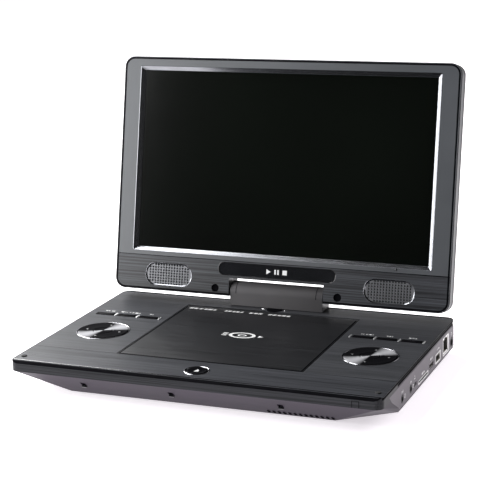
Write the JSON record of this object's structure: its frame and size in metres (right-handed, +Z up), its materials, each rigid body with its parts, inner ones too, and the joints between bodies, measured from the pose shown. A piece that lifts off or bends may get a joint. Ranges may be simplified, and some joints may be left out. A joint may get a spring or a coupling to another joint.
{
  "type": "portable disc player",
  "caption": "Clamshell portable disc player: wedge-fronted base with disc lid, direction pads and side ports, and a wide screen on a swivel and tilt hinge.",
  "frame": {"origin": "middle of the footprint of the open player, on the plane that its rubber feet stand on", "axes": "+X to the right along the hinge, +Y from the deck front to the hinge, +Z up"},
  "size_m": [0.296, 0.2415, 0.2323],
  "materials": {
    "plum_shell": "fine moulded texture, plum grey",
    "brushed_deck": "hairline-brushed charcoal, satin",
    "satin_black": "satin near-black",
    "gloss_black": "polished black",
    "bezel_satin": "satin blue-grey charcoal",
    "screen_glass": "dark polished screen face",
    "bright_trim": "polished bright metal",
    "machined_steel": "turned or stamped steel",
    "black_plastic": "moulded black plastic",
    "rubber": "soft matt rubber",
    "circuit_board": "green solder mask",
    "battery_wrap": "blue shrink wrap",
    "lens_glass": "coated lens",
    "panel_frame": "plated frame round a laminated panel, taken at the mean density of plastic and glass",
    "jack_shell": "plated sheet shell"
  },
  "bodies": {
    "root": {"bottom_shell": "plum_shell", "top_deck": "brushed_deck", "front_trim": "satin_black", "port_strip": "plum_shell", "socket_strip": "plum_shell", "rubber_feet": "rubber", "base_screws": "machined_steel", "deck_bumpers": "rubber", "trim_rings": "bright_trim", "front_windows": "gloss_black", "disc_well": "black_plastic", "drive_chassis": "machined_steel", "drive_dampers": "rubber", "spindle_motor": "machined_steel", "guide_rods": "machined_steel", "feed_motor": "machined_steel", "circuit_boards": "circuit_board", "battery_pack": "battery_wrap", "audio_jacks": "black_plastic", "card_slot": "jack_shell", "video_port": "jack_shell", "usb_port": "jack_shell", "network_jack": "jack_shell", "power_inlet": "black_plastic", "swivel_bracket": "machined_steel"},
    "screen": {"screen_cover": "bezel_satin", "screen_bezel": "bezel_satin", "bezel_strip": "brushed_deck", "display_glass": "screen_glass", "display_panel": "panel_frame", "screen_board": "circuit_board", "speakers": "black_plastic", "speaker_grilles": "satin_black", "name_plate": "gloss_black", "screw_plugs": "rubber", "hinge_leaves": "machined_steel", "screen_screws": "machined_steel", "receiver_window": "gloss_black"},
    "swivel": {"swivel_shaft": "machined_steel", "hinge_cover": "bezel_satin", "tilt_pins": "machined_steel", "display_cable": "rubber"},
    "lid": {"disc_lid": "satin_black"},
    "lid_button": {"lid_button": "gloss_black"},
    "latch": {"lid_latch": "black_plastic"},
    "hub": {"disc_hub": "black_plastic"},
    "feed": {"feed_screw": "machined_steel"},
    "sled": {"pickup_sled": "black_plastic", "objective_lens": "lens_glass"},
    "power_slider": {"power_slider": "black_plastic"},
    "key_left_outer": {"key_left_outer": "gloss_black"},
    "key_left_middle": {"key_left_middle": "gloss_black"},
    "key_left_inner": {"key_left_inner": "gloss_black"},
    "key_right_inner": {"key_right_inner": "gloss_black"},
    "key_right_middle": {"key_right_middle": "gloss_black"},
    "key_right_outer": {"key_right_outer": "gloss_black"},
    "pad_ring_left": {"pad_ring_left": "gloss_black"},
    "pad_ring_right": {"pad_ring_right": "gloss_black"},
    "pad_key_left": {"pad_key_left": "gloss_black"},
    "pad_key_right": {"pad_key_right": "gloss_black"}
  },
  "joints": [
    {"name": "screen_swivel", "type": "hinge", "parent": "root", "child": "swivel", "pos_m": [0, 0.0708, 0.029], "axis": [0, 0, 1], "range_deg": [-180, 0]},
    {"name": "screen_tilt", "type": "hinge", "parent": "swivel", "child": "screen", "pos_m": [0, 0.0708, 0.0398], "axis": [-1, 0, 0], "range_deg": [-102.2, 77.8]},
    {"name": "lid_hinge", "type": "hinge", "parent": "root", "child": "lid", "pos_m": [0, 0.0514, 0.0265], "axis": [-1, 0, 0], "range_deg": [0, 70], "stiffness_Nm_per_rad": 0.008, "springref_deg": 74.48},
    {"name": "lid_button_press", "type": "slide", "parent": "root", "child": "lid_button", "axis": [0, 0, -1], "range_m": [0, 0.0015], "stiffness_N_per_m": 600},
    {"name": "latch_slide", "type": "slide", "parent": "root", "child": "latch", "axis": [0, -1, 0], "range_m": [0, 0.0015]},
    {"name": "disc_spin", "type": "hinge", "parent": "root", "child": "hub", "pos_m": [0, -0.01455, 0.023], "axis": [0, 0, 1], "continuous": true},
    {"name": "pickup_slide", "type": "slide", "parent": "root", "child": "sled", "axis": [0, -1, 0], "range_m": [0, 0.033]},
    {"name": "feed_turn", "type": "hinge", "parent": "root", "child": "feed", "pos_m": [0.0285, -0.0856, 0.0135], "axis": [0, 1, 0], "continuous": true},
    {"name": "power_slide", "type": "slide", "parent": "root", "child": "power_slider", "axis": [0, 1, 0], "range_m": [0, 0.0024]},
    {"name": "key_left_outer_press", "type": "slide", "parent": "root", "child": "key_left_outer", "axis": [0, 0, -1], "range_m": [0, 0.0006], "stiffness_N_per_m": 700},
    {"name": "key_left_middle_press", "type": "slide", "parent": "root", "child": "key_left_middle", "axis": [0, 0, -1], "range_m": [0, 0.0006], "stiffness_N_per_m": 700},
    {"name": "key_left_inner_press", "type": "slide", "parent": "root", "child": "key_left_inner", "axis": [0, 0, -1], "range_m": [0, 0.0006], "stiffness_N_per_m": 700},
    {"name": "key_right_inner_press", "type": "slide", "parent": "root", "child": "key_right_inner", "axis": [0, 0, -1], "range_m": [0, 0.0006], "stiffness_N_per_m": 700},
    {"name": "key_right_middle_press", "type": "slide", "parent": "root", "child": "key_right_middle", "axis": [0, 0, -1], "range_m": [0, 0.0006], "stiffness_N_per_m": 700},
    {"name": "key_right_outer_press", "type": "slide", "parent": "root", "child": "key_right_outer", "axis": [0, 0, -1], "range_m": [0, 0.0006], "stiffness_N_per_m": 700},
    {"name": "pad_ring_left_press", "type": "slide", "parent": "root", "child": "pad_ring_left", "axis": [0, 0, -1], "range_m": [0, 0.0006], "stiffness_N_per_m": 700},
    {"name": "pad_ring_right_press", "type": "slide", "parent": "root", "child": "pad_ring_right", "axis": [0, 0, -1], "range_m": [0, 0.0006], "stiffness_N_per_m": 700},
    {"name": "pad_key_left_press", "type": "slide", "parent": "root", "child": "pad_key_left", "axis": [0, 0, -1], "range_m": [0, 0.0006], "stiffness_N_per_m": 700},
    {"name": "pad_key_right_press", "type": "slide", "parent": "root", "child": "pad_key_right", "axis": [0, 0, -1], "range_m": [0, 0.0006], "stiffness_N_per_m": 700}
  ],
  "couplings": [
    {"joint": "latch_slide", "follows": "lid_button_press", "ratio": 1},
    {"joint": "feed_turn", "follows": "pickup_slide", "rad_per_m": 3141.6}
  ]
}
